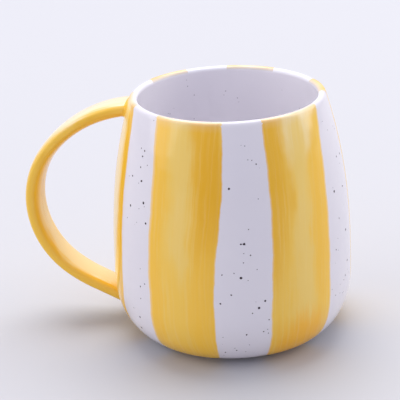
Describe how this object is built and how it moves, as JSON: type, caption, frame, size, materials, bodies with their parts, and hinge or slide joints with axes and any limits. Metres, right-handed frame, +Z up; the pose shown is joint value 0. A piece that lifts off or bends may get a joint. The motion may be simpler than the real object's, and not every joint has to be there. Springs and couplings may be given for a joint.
{
  "type": "mug",
  "caption": "Rounded stoneware mug, narrower at the rim than at the belly, with a looped strap handle and broad upright brushed stripes.",
  "frame": {"origin": "on the mug's axis, in the plane the foot ring stands on", "axes": "+Z up along the mug's axis, -X out through the middle of the handle, -Y the mug's front with the handle on its left"},
  "size_m": [0.1361, 0.0982, 0.101],
  "materials": {
    "stoneware": "matt bare fired clay, only seen on the foot ring and in the recess",
    "white_glaze": "glossy cool white with small dark iron speckles",
    "yellow_glaze": "glossy brushed mustard yellow, paler in the middle of each stroke",
    "joint_glaze": "glossy, where the yellow pools darker round the handle's roots"
  },
  "bodies": {
    "root": {"body": "stoneware", "liner_glaze": "white_glaze", "outer_glaze": "white_glaze", "handle": "yellow_glaze", "upper_joint": "joint_glaze", "lower_joint": "joint_glaze", "front_left_stripe": "yellow_glaze", "front_right_stripe": "yellow_glaze", "right_back_stripe": "yellow_glaze", "back_stripe": "yellow_glaze", "back_left_stripe": "yellow_glaze", "handle_side_stripe": "yellow_glaze"}
  },
  "joints": []
}
